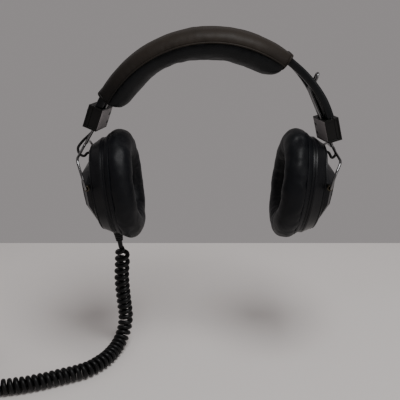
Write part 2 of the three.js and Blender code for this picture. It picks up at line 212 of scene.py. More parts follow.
# %% Leathercloth for the pad and the cushions
def leathercloth(name, colour, worn_and_lit, rough, grain, crease, coat, lit_on_top=False):
    """Blends towards the second colour as wear on the raised places; with the last option set, it
    blends by height instead, as painted light from above.
    """
    paint = Paint(name)
    slow = paint.cloudy(26, 4)
    fine = paint.cells(grain)
    crumple = paint.cloudy(crease, 5, 0.62)
    wear_and_top_light = slow * crumple * 2.2
    # Painted light: the top of the piece is blended towards the second colour by its height, as
    # light from above falls on it.
    if lit_on_top:
        height = paint.node("ShaderNodeSeparateXYZ", None, {0: paint.place}, out=2)
        wear_and_top_light = paint.node("ShaderNodeMapRange", None, {
            0: height, 1: -0.035, 2: 0.02, 3: 0.0, 4: 1.0}) * (0.45 + slow)
    pressed = paint.relief(crumple, 0.5, 0.55)
    pressed = paint.relief(fine, 0.09, 0.5, pressed)
    return paint.finish({
        "Base Color": paint.blend(wear_and_top_light, colour, worn_and_lit),
        "Roughness": rough + 0.22 * (crumple - 0.5) + 0.08 * fine,
        "Specular IOR Level": 0.16, "Coat Weight": coat, "Coat Roughness": 0.24,
        "Normal": pressed})


# The pad cover is black leathercloth; its brown is painted light from above, and the second colour
# is that lit tone.
top_lit_leathercloth = leathercloth(
    "top_lit_leathercloth", (0.0035, 0.0031, 0.0029), (0.0225, 0.0175, 0.0135), 0.52, 0.8, 7, 0.02,
    lit_on_top=True)
# Painted reflection: the blue in these two blacks stands for the bluish light the vinyl reflects;
# the black is their own colour.
black_leathercloth = leathercloth(
    "black_leathercloth", (0.0025, 0.003, 0.0036), (0.005, 0.0058, 0.0068), 0.42, 0.7, 8, 0.04)
cushion_vinyl = leathercloth(
    "cushion_vinyl", (0.0022, 0.0026, 0.0036), (0.0045, 0.0052, 0.007), 0.44, 0.55, 6, 0.015)
print("leathercloths:", top_lit_leathercloth.name, black_leathercloth.name, cushion_vinyl.name)


# %% Moulded plastic and rubber
def moulded(name, colour, pale, rough, spark=0.35, depth=0.02):
    paint = Paint(name)
    dust = paint.cloudy(14, 5, 0.6)
    sparks = paint.cloudy(spark, 2)
    return paint.finish({
        "Base Color": paint.blend(dust ** 1.6, colour, pale),
        "Roughness": rough + 0.16 * (dust - 0.5), "Specular IOR Level": 0.2,
        "Normal": paint.relief(sparks, depth, 0.6)})


cup_plastic = moulded("cup_plastic", (0.0032, 0.0035, 0.0045), (0.008, 0.0083, 0.0098), 0.36)
plate_plastic = moulded(
    "plate_plastic", (0.003, 0.003, 0.003), (0.009, 0.009, 0.0085), 0.48, 0.7, 0.08)
block_dark = moulded("block_dark", (0.003, 0.003, 0.0028), (0.009, 0.0086, 0.0082), 0.44, 0.5, 0.05)
# Part plastic colour, part painted light: this grey is made pale to stand in for light bounced onto
# the blocks' inner faces.
block_grey = moulded("block_grey", (0.20, 0.185, 0.187), (0.36, 0.335, 0.34), 0.5, 0.7, 0.08)
band_vinyl = moulded(
    "band_vinyl", (0.0028, 0.0034, 0.0042), (0.008, 0.0088, 0.010), 0.33, 0.6, 0.04)
cord_rubber = moulded(
    "cord_rubber", (0.0025, 0.0026, 0.0028), (0.0065, 0.0065, 0.0067), 0.36, 0.6)
cable_rubber = moulded("cable_rubber", (0.007, 0.007, 0.007), (0.018, 0.018, 0.018), 0.48, 0.4)
plug_plastic = moulded("plug_plastic", (0.008, 0.008, 0.008), (0.02, 0.02, 0.02), 0.4)
print("moulded finishes:", cup_plastic.name, block_grey.name, cord_rubber.name)


# %% Metals
def metal(name, colour, tarnish, rough, streak=3.0):
    paint = Paint(name)
    haze = paint.cloudy(streak, 6, 0.7)
    return paint.finish({
        "Base Color": paint.blend(haze ** 2.0, colour, tarnish),
        "Metallic": 1.0,
        "Roughness": rough + 0.18 * (haze - 0.5),
        "Normal": paint.relief(paint.cloudy(0.5, 3), 0.006, 0.3)})


# Painted reflection: the chrome is coloured darker than chrome is, standing in for the dark
# surroundings its wires reflect.
chrome_wire = metal("chrome_wire", (0.20, 0.20, 0.205), (0.06, 0.058, 0.056), 0.13)
spring_steel = metal("spring_steel", (0.46, 0.47, 0.50), (0.30, 0.30, 0.31), 0.32)
screw_steel = metal("screw_steel", (0.42, 0.42, 0.44), (0.25, 0.24, 0.23), 0.30)
brass = metal("dark_brass", (0.10, 0.085, 0.06), (0.04, 0.035, 0.028), 0.36)
plug_metal = metal("plug_metal", (0.80, 0.66, 0.38), (0.62, 0.50, 0.30), 0.16)
print("metals:", chrome_wire.name, plug_metal.name)


# %% Foam, paper, hook and loop, and the table
def fibrous(name, colour, pale, size, depth, rough=0.95):
    paint = Paint(name)
    pores = paint.cells(size)
    return paint.finish({
        "Base Color": paint.blend(pores * 1.2, colour, pale),
        "Roughness": rough - 0.1 * pores,
        "Normal": paint.relief(pores, depth, 0.8)})


foam = fibrous("foam", (0.006, 0.006, 0.006), (0.030, 0.030, 0.031), 0.9, 0.4)
cone_paper = fibrous("cone_paper", (0.05, 0.036, 0.024), (0.11, 0.085, 0.06), 0.5, 0.06)
tie_loops = fibrous("tie_loops", (0.008, 0.008, 0.008), (0.022, 0.022, 0.022), 0.4, 0.2)
table_paint = Paint("table_paint")
table_mesh.materials.append(table_paint.finish({
    "Base Color": table_paint.blend(
        table_paint.cloudy(180, 3), (0.70, 0.665, 0.645), (0.75, 0.715, 0.695)),
    "Roughness": 0.5 + 0.1 * table_paint.cloudy(8, 3),
    "Normal": table_paint.relief(table_paint.cloudy(1.2, 3), 0.02, 0.3)}))
print("fibrous finishes:", foam.name, cone_paper.name, tie_loops.name)

# %% [markdown]
# ## Lines, tubes and lofts
# Most of the headset is a section carried along a line: the wires, the cords, the band and
# the pad. One helper smooths a line through a few points, one carries a frame along it
# without twisting, and one joins rings of points into a skin.

# %% Lines
def distances(line):
    """How far along the line each of its points lies."""
    return np.concatenate([[0], np.cumsum(np.linalg.norm(np.diff(line, axis=0), axis=1))])


def evenly(line, step):
    """The line again, with points about step apart."""
    line = np.asarray(line, float)
    along = distances(line)
    at = np.linspace(0, along[-1], max(2, math.ceil(along[-1] / step) + 1))
    return np.stack([np.interp(at, along, line[:, k]) for k in range(line.shape[1])], axis=1)


def smooth_line(points, step):
    """A centripetal Catmull-Rom curve through the points."""
    def between(first, second, start, end):
        return ((end - t) * first + (t - start) * second) / (end - start)

    p = np.asarray(points, float)
    p = np.vstack([2 * p[0] - p[1], p, 2 * p[-1] - p[-2]])
    line = []
    for a, b, c, d in zip(p[:-3], p[1:-2], p[2:-1], p[3:]):
        gaps = [np.linalg.norm(end - start) ** 0.5 for start, end in ((a, b), (b, c), (c, d))]
        k0, k1, k2, k3 = 0, gaps[0], gaps[0] + gaps[1], sum(gaps)
        t = np.linspace(k1, k2, 40, endpoint=False)[:, None]
        ab, bc, cd = between(a, b, k0, k1), between(b, c, k1, k2), between(c, d, k2, k3)
        line.append(between(between(ab, bc, k0, k2), between(bc, cd, k1, k3), k1, k2))
    return evenly(np.vstack([*line, p[-2:-1]]), step)


def rounded_line(corners, bend, step):
    """Straight runs between the corners, with each corner rounded by bend."""
    corners = [np.asarray(c, float) for c in corners]
    line = [corners[0]]
    for before, corner, after in zip(corners, corners[1:], corners[2:]):
        into, away = before - corner, after - corner
        reach = min(bend, np.linalg.norm(into) / 2, np.linalg.norm(away) / 2)
        start = corner + into / np.linalg.norm(into) * reach
        end = corner + away / np.linalg.norm(away) * reach
        for t in np.linspace(0, 1, 13):
            line.append((1 - t) ** 2 * start + 2 * t * (1 - t) * corner + t * t * end)
    return evenly([*line, corners[-1]], step)


def carried_frames(line):
    """Two directions square to the line at each point, which never twist about it."""
    ahead = np.gradient(line, axis=0)
    ahead /= np.linalg.norm(ahead, axis=1)[:, None]
    side = np.cross(ahead[0], [0.31, 0.17, 0.93])
    sides = []
    for direction in ahead:
        side = side - direction * (side @ direction)
        side = side / np.linalg.norm(side)
        sides.append(side)
    sides = np.array(sides)
    return sides, np.cross(ahead, sides)


def tube_rings(line, radius, sides):
    """Rings of points round a line; radius is one number or one for each point."""
    across, over = carried_frames(line)
    turn = np.linspace(0, 2 * np.pi, sides, endpoint=False)
    reach = np.broadcast_to(radius, len(line))[:, None, None]
    ring = np.cos(turn)[:, None] * across[:, None] + np.sin(turn)[:, None] * over[:, None]
    return line[:, None] + reach * ring


print("a bend of 5 mm takes", len(rounded_line([(0, 0), (9, 0), (9, 9)], 5, 0.5)), "points")


# %% Skins
def skin(name, rings, look, joined=False):
    """A closed mesh through rings of points; joined makes the last ring meet the first."""
    rings = np.asarray(rings, float)
    count, around = rings.shape[:2]
    faces = [
        (i * around + j, i * around + (j + 1) % around,
         (i + 1) % count * around + (j + 1) % around, (i + 1) % count * around + j)
        for i in range(count if joined else count - 1) for j in range(around)]
    if not joined:
        faces += [tuple(range(around)), tuple(range((count - 1) * around, count * around))]
    mesh = bpy.data.meshes.new(name)
    mesh.from_pydata([tuple(p) for p in rings.reshape(-1, 3) * MM], [], faces)
    return tidy(in_scene(name, mesh), look)


def from_bmesh(name, shape, axes):
    """An object in the given axes, made from a bmesh that is then freed."""
    mesh = bpy.data.meshes.new(name)
    shape.to_mesh(mesh)
    shape.free()
    mesh.transform(axes)
    return in_scene(name, mesh)


def tidy(piece, look, edge=38):
    """Merges doubles, turns the faces outwards and sets the finish and smooth shading."""
    shape = bmesh.new()
    shape.from_mesh(piece.data)
    bmesh.ops.remove_doubles(shape, verts=shape.verts, dist=1e-6)
    bmesh.ops.recalc_face_normals(shape, faces=shape.faces)
    shape.to_mesh(piece.data)
    shape.free()
    piece.data.materials.clear()
    piece.data.materials.append(look)
    piece.data.shade_smooth()
    piece.data.set_sharp_from_angle(angle=math.radians(edge))
    return piece


def apply_stack(piece):
    """Turns a piece's modifiers into plain mesh."""
    bpy.context.view_layer.update()
    graph = bpy.context.evaluated_depsgraph_get()
    finished = bpy.data.meshes.new_from_object(piece.evaluated_get(graph))
    piece.modifiers.clear()
    piece.data = finished
    return piece


def carve(piece, *cutters, operation="DIFFERENCE"):
    """Cuts helper shapes out of a piece, or adds them, and removes the helpers."""
    for cutter in cutters:
        cut = piece.modifiers.new("cut", "BOOLEAN")
        cut.operation, cut.solver, cut.object = operation, "EXACT", cutter
    apply_stack(piece)
    for cutter in cutters:
        bpy.data.objects.remove(cutter)
    return piece


def soften(piece, width, segments=3, angle=30):
    """A live bevel that rounds a moulding's sharp edges."""
    bevel = piece.modifiers.new("rounded_edges", "BEVEL")
    bevel.width, bevel.segments = width * MM, segments
    bevel.limit_method, bevel.angle_limit = "ANGLE", math.radians(angle)
    bevel.harden_normals = True
    return piece


def moulding(piece, cutters, width, segments=3, edge=30, angle=30):
    """Cuts a moulding's openings, cleans it up and rounds its edges."""
    look = piece.data.materials[0]
    carve(piece, *cutters)
    return soften(tidy(piece, look, edge), width, segments, angle)


def belongs(piece, body, slot, *nodes):
    """The piece moves with a body and stands for CAD nodes, whose pieces are hidden. The slot
    argument is not used.
    """
    if body:
        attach(piece, body)
    if nodes:
        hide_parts(*nodes)
    return piece


print("skins, cuts and bevels are ready")

# %% [markdown]
# ## Where things sit
# The band is an arc about one centre, so its pieces are placed by radius and angle. Each
# cup leans a little, so its pieces are drawn in the cup's own axes: across, up and out.

# %% The band's arc, the straight stems and the cups' own axes
ARC_Z, BAND_MIDDLE = -86.0, 87.0
BLOCK_ANGLE, BLOCK_RADIUS, BLOCK_TURN = 14.0, 107.3, math.radians(12)
STEMS_APART, STEM_RADIUS, STEM_ANGLE = 8.0, 103.0, 25.0
CUP_TILT, OVAL, GROMMET, CABLE = math.radians(6.8), 0.9, 33.0, 1.2
SIDES = {
    "right": {"out": 1, "cup": (85.8, -113.7), "stem_top": 20, "stem_end": -40.5,
              "hook": [(7.6, 12.7), (4.9, 5.3)], "knee": (111.3, -82.2), "dent": (-0.42, -16),
              "loop": [(111.8, -80.4), (113.2, -85.2), (110.2, -88)]},
    "left": {"out": -1, "cup": (-91.4, -114.3), "stem_top": 9, "stem_end": -50.5,
             "hook": [], "knee": (-115.8, -80), "dent": (0.36, -18.5),
             "loop": [(-116.6, -73.2), (-120.6, -79.2), (-119.2, -84.6), (-115.4, -86.3)]},
}


def mirrored(angle, out):
    return angle if out > 0 else 2 * BAND_MIDDLE - angle


def on_arc(radius, angle, y=0.0):
    turn = math.radians(angle)
    return np.array([radius * math.cos(turn), y, ARC_Z + radius * math.sin(turn)])


def on_stem(side, along, y=0.0):
    tangent = math.radians(mirrored(STEM_ANGLE, side["out"]) + 90 * side["out"])
    foot = on_arc(STEM_RADIUS, mirrored(STEM_ANGLE, side["out"]), y)
    return foot + along * np.array([math.cos(tangent), 0, math.sin(tangent)])


def cup_axes(side):
    """The cup's matrix in metres: across, up and out."""
    out, c, s = side["out"], math.cos(CUP_TILT), math.sin(CUP_TILT)
    return Matrix(((0, out * s, out * c, side["cup"][0] * MM),
                   (out, 0, 0, 0),
                   (0, c, -s, side["cup"][1] * MM),
                   (0, 0, 0, 1)))


def in_cup(side, out, up, across=0.0):
    """A point in mm, from the cup's own out, up and across."""
    return np.array(cup_axes(side) @ Vector((across * MM, up * MM, out * MM))) / MM


def seat_in(axes, x, y, z, turn=0.0, about="Y"):
    """The axes moved by x, y and z mm along themselves, then turned about one of them."""
    moved = axes @ Matrix.Translation((x * MM, y * MM, z * MM))
    return moved @ Matrix.Rotation(turn, 4, about)


print("left cup's middle:", np.round(in_cup(SIDES["left"], 0, 0), 1))

# %% [markdown]
# ## The curled cord
# A coiled headset cord is a thick wire wound into a spring, so it is made as one: a route
# for the spring's middle, and a helix round it. It hangs from the left cup's strain relief,
# turns onto the table, and the unused length lies in a neat ring, held by a strap, with a
# straight tail to the jack plug. The wire's whole length is about 3 m, as a ten-foot cord
# has when it is pulled straight.

# %% The cord's sizes and its route
CORD, CURL = 2.25, 7.5
TURN = CURL - CORD
LOW = FLOOR + CURL
RING_X, RING_Y, RING_RADIUS, RING_Z = -256.0, -43.5, 40.0, FLOOR + 9.1
JACK_X, JACK_Y, JACK_Z = RING_X - 62.0, RING_Y - 4.0, FLOOR + 5.7
left = SIDES["left"]
relief_end = in_cup(left, 2, -55.9)

hanging = [
    in_cup(left, 2, -50.0), in_cup(left, 2, -57.8), (-85.2, 2, -188.5), (-86.8, 3, -210),
    (-85.8, 4, -236), (-84.6, 3, -253), (-86, -1, -265.5), (-89.5, -9.5, -274.2),
    (-94, -21, LOW), (-101, -37, LOW), (-115, -53.5, LOW), (-138, -65, LOW),
    (-163, -75, LOW), (-189, -81, LOW), (-217, -83.5, LOW + 1),
]
wound = [
    (RING_X + RING_RADIUS * math.cos(math.radians(a)),
     RING_Y + RING_RADIUS * math.sin(math.radians(a)), RING_Z)
    for a in range(-90, -381, -15)]
over = RING_Z + CURL + CORD + 0.4
flat = FLOOR + CORD + 0.05
tail = [(RING_X + x, RING_Y + y, z) for x, y, z in (
    (33, -22.6, RING_Z + 5.5), (24.6, -31.5, over), (17, -40, over + 0.4),
    (8, -48.5, over - 0.6), (-2, -56.5, over - 7), (-14, -61.5, flat + 4),
    (-28, -61.5, flat), (-43, -53, flat), (-54, -38, flat), (-60.5, -22, flat + 1.4),
    (-62, -12, JACK_Z), (-62, -4, JACK_Z))]
middle = smooth_line([*hanging, *wound, *tail], 0.4)
along = distances(middle)
print("the spring's middle is", round(along[-1]), "mm long")

# %% Winding the wire
def reached(point):
    """How far along the middle line a point of the route lies."""
    return along[np.argmin(np.linalg.norm(middle - np.asarray(point), axis=1))]


first_curl = reached(hanging[1]) + 4
on_table, at_ring, ring_done = reached(hanging[8]), reached(wound[0]), reached(wound[-1])
PITCH_HANGING, PITCH_LYING, PITCH_WOUND = 7.1, 5.4, 5.9
LEAD, FIRST_TURN, RING_STEP = 9.0, 2.6, 2.1
pitch = np.interp(
    along, [first_curl, on_table - 25, on_table, at_ring - 10, at_ring + 10],
    [PITCH_HANGING + 0.4, PITCH_HANGING - 1.4, PITCH_LYING, PITCH_LYING, PITCH_WOUND])
inside = (along > first_curl) & (along < ring_done)
steps = np.diff(along, prepend=0) / pitch * inside
phase = 2 * np.pi * np.cumsum(steps) + FIRST_TURN
ease = np.clip((along - first_curl) / LEAD, 0, 1) * np.clip((ring_done - along) / LEAD, 0, 1)
ease = ease * ease * (3 - 2 * ease)
across, above = carried_frames(middle)
coiled = middle + TURN * ease[:, None] * (
    np.cos(phase)[:, None] * across + np.sin(phase)[:, None] * above)
wire_line = evenly(coiled, RING_STEP)

# %% [markdown]
# The cord is made as two pieces that meet at a curl below the cup. The short upper one
# hangs between the cup and its yoke, and the long one between the yoke and the table.
# Both skins share their rings where they meet.

# %% The upper curls and the long cord
MEETS = int(np.argmax(wire_line[:, 2] < relief_end[2] - 24))
wire_rings = tube_rings(wire_line, CORD, 12)
cord_top = skin("cord_lead", wire_rings[:MEETS + 1], cord_rubber)
cord_long = skin("curled_cord", wire_rings[MEETS:], cord_rubber)
belongs(cord_top, None, "cord_rubber", "left_cord_lead")
belongs(cord_long, None, "cord_rubber", "cord_curl", "cord_coil", "cord_tail")
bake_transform(cord_top)
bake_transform(cord_long)
print("pieces:", cord_top.name, cord_long.name)

# %% [markdown]
# ## The jack plug and the strap
# The plug is turned from a few profiles. A Screw modifier spins each profile about its
# axis, and the piece is then laid down where the CAD has it.

# %% Turned pieces
def turned(name, profile, axes, look, steps=48, oval=1.0, ring=True, edge=0.15):
    """Spins [radius, height] points, in mm, about the third of the axes."""
    mesh = bpy.data.meshes.new(name)
    points = [(r * MM, 0, h * MM) for r, h in profile]
    lines = [(i, i + 1) for i in range(len(points) - 1)]
    if ring:
        lines.append((len(points) - 1, 0))
    mesh.from_pydata(points, lines, [])
    piece = in_scene(name, mesh)
    spin = piece.modifiers.new("spin", "SCREW")
    spin.axis, spin.steps, spin.render_steps = "Z", steps, steps
    spin.use_merge_vertices, spin.merge_threshold = True, 1e-6
    apply_stack(piece)
    piece.data.transform(axes @ Matrix.Diagonal((oval, 1, 1, 1)))
    tidy(piece, look)
    if edge:
        soften(piece, edge, 2)
    return piece


def lying(x, y, z):
    """Axes whose third one is +Y, for the plug."""
    return Matrix(((1, 0, 0, x * MM), (0, 0, 1, y * MM), (0, -1, 0, z * MM), (0, 0, 0, 1)))


SHAFT = 3.175
plug_profiles = {
    "plug_boot": (cord_rubber, "plug_plastic", [
        (0, 0.3), (2.6, 0.3), (3.0, 0.8), (3.1, 3), (3.5, 3.1), (3.5, 4.2), (3.2, 4.3), (3.3, 5.6),
        (3.8, 5.7), (3.8, 6.8), (3.5, 6.9), (3.6, 8.2), (4.1, 8.3), (4.1, 9.4), (3.9, 9.5),
        (4.4, 11.4), (4.4, 12), (0, 12)]),
    "plug_barrel": (plug_plastic, "plug_plastic", [
        (0, 12.3), (5.0, 12.3), (5.6, 13.2), (5.6, 16), (5.2, 16.4), (5.2, 17.4), (5.6, 17.8),
        (5.6, 30), (5.2, 30.4), (5.2, 31.4), (5.6, 31.8), (5.6, 38), (4.8, 39), (0, 39)]),
    "plug_sleeve": (plug_metal, "plug_metal", [
        (0, 39.3), (SHAFT, 39.3), (SHAFT, 55.6), (0, 55.6)]),
    "plug_insulator": (plug_plastic, "plug_plastic", [
        (0, 55.9), (3.075, 55.9), (3.075, 57), (0, 57)]),
    "plug_ring": (plug_metal, "plug_metal", [(0, 57.3), (SHAFT, 57.3), (SHAFT, 61.6), (0, 61.6)]),
    "plug_tip": (plug_metal, "plug_metal", [
        (0, 61.9), (3.075, 61.9), (3.075, 62.8), (2.6, 63.6), (2.2, 65), (2.6, 65.8), (SHAFT, 66.6),
        (3.0, 67.8), (2.4, 69), (1.6, 70), (0.9, 70.4), (0, 70.6)]),
}
for name, (look, slot, profile) in plug_profiles.items():
    piece = turned("jack_" + name[5:], profile, lying(JACK_X, JACK_Y, JACK_Z), look, 40, 1, False)
    belongs(piece, "headband", slot, name)

# %% The strap round the wound cord
STRAP_IN, STRAP_OUT, STRAP_HALF = CURL + 0.8, CURL + 1.5, 4.3
strap_section = [(STRAP_IN, -STRAP_HALF), (STRAP_OUT, -STRAP_HALF),
                 (STRAP_OUT, STRAP_HALF), (STRAP_IN, STRAP_HALF)]
strap = turned("cord_strap", strap_section, lying(RING_X - RING_RADIUS, RING_Y, RING_Z),
               tie_loops, 48, 1, True, 0.2)
belongs(strap, "headband", "tie_fabric", "coil_tie")
print("strap:", strap.name)

# %% [markdown]
# ## The head band
# The band is a flat steel spring in a soft vinyl sleeve, with a slot at each end for the
# yoke's wires. Both are rounded sections carried along the arc. The sleeve's hollow and the
# slots are cut out with Boolean modifiers, because the openings go through.

# %% The sleeve, the spring in it and the link cable
def rounded_section(inner, outer, wide, corner, count=5):
    """Points of a rounded rectangle in (radius, y), all the way round."""
    points = []
    for r, y, start in (
            (outer - corner, wide / 2 - corner, 0), (inner + corner, wide / 2 - corner, 90),
            (inner + corner, corner - wide / 2, 180), (outer - corner, corner - wide / 2, 270)):
        for a in np.linspace(start, start + 90, count):
            turn = math.radians(a)
            points.append((r + corner * math.cos(turn), y + corner * math.sin(turn)))
    return points


SLEEVE_IN, SLEEVE_OUT, SLEEVE_WIDE, SPRING_WIDE = 105.0, 111.8, 24.0, 20.0
SPRING_IN, SPRING_OUT, BAND_RADIUS, LINK_RADIUS = 108.7, 109.9, 108.4, 107.3
SLOT_ANGLE, SLOT_HALF, SLOT_WIDE = 32.2, math.radians(11.3), 11.8
SLEEVE_ENDS, HOLLOW_ENDS = (19.7, 154.3), (18.5, 155.5)
SPRING_ENDS, LINK_ENDS, TWIST_ENDS = (13.5, 160.5), (22, 152), (28, 50)


def flared(r, y, angle):
    """The band's right end is twisted about its middle line, so that its front edge flares
    outwards as the block on it does."""
    turn = BLOCK_TURN * float(np.interp(angle, TWIST_ENDS, (1, 0)))
    return (BAND_RADIUS + (r - BAND_RADIUS) * math.cos(turn) - y * math.sin(turn),
            y * math.cos(turn) + (r - BAND_RADIUS) * math.sin(turn))


def along_band(name, section, start, end, count, look):
    rings = []
    for a in np.linspace(start, end, count):
        ring = [flared(r, y, a) for r, y in section]
        rings.append([on_arc(r, a, y) for r, y in ring])
    return skin(name, rings, look)


def slot_cutter(side):
    long, deep = 2 * SLEEVE_OUT * math.sin(SLOT_HALF), 24
    centre = mirrored(SLOT_ANGLE, side["out"])
    shape = bmesh.new()
    bmesh.ops.create_cube(shape, size=MM)
    bmesh.ops.transform(
        shape, verts=shape.verts, matrix=Matrix.Diagonal((deep, SLOT_WIDE, long, 1)))
    upright = [e for e in shape.edges if abs(e.verts[0].co.x - e.verts[1].co.x) > 1e-6]
    bmesh.ops.bevel(shape, geom=upright, offset=3 * MM, segments=4, affect="EDGES", profile=0.5)
    place = Matrix.Translation(on_arc(BAND_RADIUS, centre) * MM)
    return from_bmesh("slot_cutter", shape, place @ Matrix.Rotation(-math.radians(centre), 4, "Y"))


def slot_cutters():
    return [slot_cutter(side) for side in SIDES.values()]


sleeve = along_band("band_sleeve", rounded_section(SLEEVE_IN, SLEEVE_OUT, SLEEVE_WIDE, 1.8),
                    *SLEEVE_ENDS, 100, band_vinyl)
hollow = along_band("hollow", rounded_section(
    SLEEVE_IN + 1, SLEEVE_OUT - 1.5, SPRING_WIDE + 0.8, 0.6, 2), *HOLLOW_ENDS, 100, band_vinyl)
moulding(sleeve, [hollow, *slot_cutters()], 0.35, 2, 35)
spring = along_band("band_spring_strip", rounded_section(
    SPRING_IN, SPRING_OUT, SPRING_WIDE, 0.3, 3), *SPRING_ENDS, 120, spring_steel)
carve(spring, *slot_cutters())
belongs(tidy(spring, spring_steel, 35), "headband", "spring_steel", "band_spring")
belongs(sleeve, "headband", "band_vinyl", "band_cover")
link_line = np.array([on_arc(LINK_RADIUS, a) for a in np.linspace(*LINK_ENDS, 90)])
link_cable = skin("link_cable", tube_rings(link_line, CABLE, 12), cable_rubber)
belongs(link_cable, "headband", "cable_rubber", "crossover_cable")
print("sleeve faces:", len(sleeve.data.polygons))

# %% [markdown]
# ## The head pad
# The pad is sewn from two parts: a cover over the band, painted brown on top as light from
# above, and a fuller black cushion under it, which swells out past the seam. Both are lofts
# along the arc, thinner and narrower towards the ends. The cushion is then filled with air in
# a short cloth simulation, which rounds it and draws it in at the seam as real stuffing does.

# %% The pad's sections
PAD_RIGHT, PAD_LEFT, END_ROUND = 53.0, 150.0, 8.5
SEAM_RADIUS, SEAM_SIDE = 102.8, 22.6
FLOOR_RADIUS, CHANNEL_SIDE = 99.0, 13.6
PRESSED, PRESSED_AT, PRESSED_HALF = 0.26, 0.62, 0.3
SLANT, SLANT_FROM, TOP_RADIUS = 0.14, 0.8, 106.0


def pad_shape(t):
    """How thick and how wide the pad is at t, from 0 at its right end to 1 at its left.
    The head has pressed it thinner a little to the left of its middle."""
    to_end = min(t, 1 - t) * (PAD_LEFT - PAD_RIGHT)
    thick = math.sqrt(max(0.01, 1 - (1 - min(1, to_end / END_ROUND)) ** 2))
    pressed = 1 - PRESSED * math.exp(-((t - PRESSED_AT) / PRESSED_HALF) ** 2)
    return thick * pressed, math.sqrt(min(1, 0.25 + to_end / 16))


def pad_point(r, y, t):
    """A point of the pad's section at t. The left end is cut on a slant."""
    thick, wide = pad_shape(t)
    radius = FLOOR_RADIUS - (FLOOR_RADIUS - r) * thick if r < FLOOR_RADIUS else r
    side = y
    if abs(y) > CHANNEL_SIDE:
        side = math.copysign(CHANNEL_SIDE + (abs(y) - CHANNEL_SIDE) * wide, y)
    slant = (TOP_RADIUS - radius) * SLANT * max(0.0, (t - SLANT_FROM) / 0.2) ** 2
    return on_arc(radius, PAD_RIGHT + (PAD_LEFT - PAD_RIGHT) * t + slant, side)


def both_halves(half):
    """A contour from its half with y above 0."""
    return [*half, *[(r, -y) for r, y in reversed(half) if y > 0]]


belly = smooth_line([(86.3, 0), (86.4, 6), (87.2, 11.5), (89.2, 16.4), (92.4, 20.2), (96.2, 22.3),
                     (100, 22.9), (SEAM_RADIUS, SEAM_SIDE)], 1.6)
channel = [(104.3, 20.7), (107.2, 18.4), (108.6, 15.4), (108.4, 13.3), (104.4, 13.0),
           (104.4, 6.6), (99.8, 6.4), (99.8, 0)]
cushion_contour = both_halves([*belly, *channel])
pad_stations = np.concatenate([
    np.linspace(0, 0.10, 10), np.linspace(0.12, 0.88, 44), np.linspace(0.90, 1.0, 10)])
print("pad contour:", len(cushion_contour), "points at", len(pad_stations), "stations")


# %% Filling a cushion
def settle_soft(piece, pinned, voxel, cap, pressure=4.0, stiff=15.0):
    """Remeshes a piece, blows it up as cloth, and keeps every point within cap of its start."""
    look = piece.data.materials[0]
    again = piece.modifiers.new("even_faces", "REMESH")
    again.mode, again.voxel_size = "VOXEL", voxel * MM
    apply_stack(piece)
    start = np.array([v.co for v in piece.data.vertices])
    held = piece.vertex_groups.new(name="held")
    for i, point in enumerate(start / MM):
        held.add([i], pinned(point), "REPLACE")
    cloth = piece.modifiers.new("stuffing", "CLOTH")
    stuff, last = cloth.settings, 20
    stuff.use_pressure, stuff.uniform_pressure_force = True, pressure
    stuff.tension_stiffness = stuff.compression_stiffness = stiff
    stuff.shear_stiffness = stiff / 3
    stuff.effector_weights.gravity = 0
    stuff.vertex_group_mass = "held"
    stuff.quality = 5
    cloth.point_cache.frame_end = last
    scene = bpy.context.scene
    for number in range(1, last + 1):
        scene.frame_set(number)
    apply_stack(piece)
    scene.frame_set(1)
    piece.vertex_groups.clear()
    moved = np.array([v.co for v in piece.data.vertices]) - start
    far = np.linalg.norm(moved, axis=1)
    share = np.minimum(1, cap * MM / np.maximum(far, 1e-9))[:, None]
    piece.data.vertices.foreach_set("co", (start + moved * share).astype(np.float32).ravel())
    tidy(piece, look, 180)
    print(piece.name, "swelled by up to", round(float(min(far.max() / MM, cap)), 1), "mm")
    return piece


def wrinkled(piece, levels, shift):
    """One smoothing subdivision, then each point moves along its normal by shift(point) mm."""
    look = piece.data.materials[0]
    smooth = piece.modifiers.new("smooth", "SUBSURF")
    smooth.levels = smooth.render_levels = levels
    apply_stack(piece)
    for vertex in piece.data.vertices:
        vertex.co += vertex.normal * shift(vertex.co / MM) * MM
    return tidy(piece, look, 180)


def ripple(point, size, seed=0.0):
    """Soft noise about 0, size mm between its bumps."""
    return noise.noise(Vector(point) / size + Vector((seed, 0, 0)))


print("soft pieces", "are filled with air")

# %% The cushion under the band
def arc_place(point):
    """A point's radius and its angle in degrees about the arc's centre."""
    up = point[2] - ARC_Z
    return math.hypot(point[0], up), math.degrees(math.atan2(up, point[0]))


def in_channel(radius, y):
    return radius > 99.5 and abs(y) < 15.5


def pad_held(point):
    """1 in the channel that the band runs through and above the seam, 0 on the outside."""
    radius = arc_place(point)[0]
    return 1.0 if radius > 102.4 or in_channel(radius, point[1]) else 0.0


pad_cushion = skin("pad_cushion", [
    [pad_point(r, y, t) for r, y in cushion_contour] for t in pad_stations], black_leathercloth)
settle_soft(pad_cushion, pad_held, 3.6, 2.2)


def pad_crease(point):
    radius, angle = arc_place(point)
    if radius > SEAM_RADIUS or in_channel(radius, point[1]):
        return 0.0
    near_seam = max(0.0, 1 - abs(radius - SEAM_RADIUS) / 9)
    pucker = 0.7 * near_seam * ripple((angle * 1.9, 3, 1), 2.4) - 0.9 * near_seam ** 3
    return pucker + 0.8 * ripple(point, 19, 4.0) + 0.3 * ripple(point, 7, 9.0)


wrinkled(pad_cushion, 1, pad_crease)
belongs(pad_cushion, "head_pad", "pad_leathercloth", "head_pad")
print("pad cushion faces:", len(pad_cushion.data.polygons))

